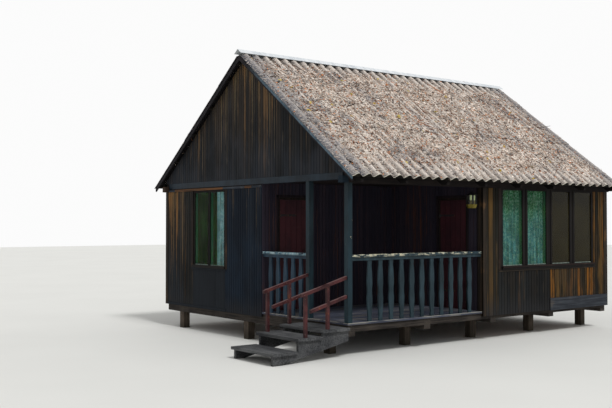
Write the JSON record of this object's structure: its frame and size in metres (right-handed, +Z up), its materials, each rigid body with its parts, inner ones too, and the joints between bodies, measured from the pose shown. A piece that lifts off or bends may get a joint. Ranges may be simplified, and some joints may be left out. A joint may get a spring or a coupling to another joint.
{
  "type": "timber board-clad cabin on piers",
  "caption": "Small timber cabin with vertical board cladding, corner porch, corrugated gable roof, windows and plank doors that swing out, raised on timber piers.",
  "frame": {"origin": "foot of the central pier, on the ground at the centre of the cabin's plan", "axes": "+X along the ridge away from the entrance steps, -Y towards the porch eave, +Z up"},
  "size_m": [7.825, 5.8518, 4.8236],
  "materials": {
    "blue_curtain": "sheer cotton",
    "blue_grey_paint": "old blue-grey paint, peeling on the rails",
    "ceiling_boards": "dark boards",
    "dark_cladding": "dark stained boards, weathered in streaks",
    "dark_iron": "dull black iron",
    "deck_boards": "worn blue-grey paint",
    "floor_boards": "worn boards",
    "green_curtain": "sheer patterned cotton",
    "lantern_glass": "frosted",
    "lantern_metal": "black paint",
    "red_door_paint": "dark red paint",
    "red_rail_paint": "old red-brown paint with rust",
    "ridge_metal": "pale sheet metal",
    "roof_sheet": "grey fibre cement, lichen and needle litter",
    "step_timber": "weathered, rough",
    "weathered_timber": "weathered, rough sawn",
    "window_glass": "clear, slightly dusty",
    "window_timber": "dark brown paint"
  },
  "bodies": {
    "cabin": {"barge_boards": "dark_cladding", "battens": "weathered_timber", "bearers": "weathered_timber", "ceiling": "ceiling_boards", "corner_post": "blue_grey_paint", "door_frames": "dark_cladding", "door_pintles": "dark_iron", "eave_balustrade": "blue_grey_paint", "eave_curtains": "green_curtain", "eave_plates": "weathered_timber", "eave_wall": "dark_cladding", "eave_window_frame": "window_timber", "eave_window_glass": "window_glass", "end_entry_wall_head": "dark_cladding", "end_entry_wall_left": "dark_cladding", "end_entry_wall_right": "dark_cladding", "entry_post": "blue_grey_paint", "entry_steps": "step_timber", "far_gable": "dark_cladding", "far_gable_wall": "dark_cladding", "floor_joists": "weathered_timber", "foundation_piers": "weathered_timber", "gable_balustrade": "blue_grey_paint", "gable_beam": "blue_grey_paint", "gable_curtain": "blue_curtain", "gable_wall": "dark_cladding", "gable_window_frame": "window_timber", "gable_window_glass": "window_glass", "lantern_glass": "lantern_glass", "left_stair_rail": "red_rail_paint", "near_gable": "dark_cladding", "porch_deck": "deck_boards", "porch_lantern": "lantern_metal", "rear_wall": "dark_cladding", "rear_window_frame": "window_timber", "rear_window_glass": "window_glass", "ridge_cap": "ridge_metal", "right_stair_rail": "red_rail_paint", "roof_frame": "weathered_timber", "roof_sheets_front": "roof_sheet", "roof_sheets_rear": "roof_sheet", "room_floor": "floor_boards", "side_entry_wall_head": "dark_cladding", "side_entry_wall_left": "dark_cladding", "side_entry_wall_right": "dark_cladding"},
    "side_door": {"side_door_leaf": "red_door_paint", "side_door_ironwork": "dark_iron"},
    "end_door": {"end_door_leaf": "red_door_paint", "end_door_ironwork": "dark_iron"}
  },
  "joints": [
    {"name": "side_door_hinge", "type": "hinge", "parent": "cabin", "child": "side_door", "pos_m": [-2.8055, -0.512, 1.4], "axis": [0, 0, -1], "range_deg": [0, 100]},
    {"name": "end_door_hinge", "type": "hinge", "parent": "cabin", "child": "end_door", "pos_m": [-0.299, -1.7025, 1.4], "axis": [0, 0, -1], "range_deg": [0, 100]}
  ]
}
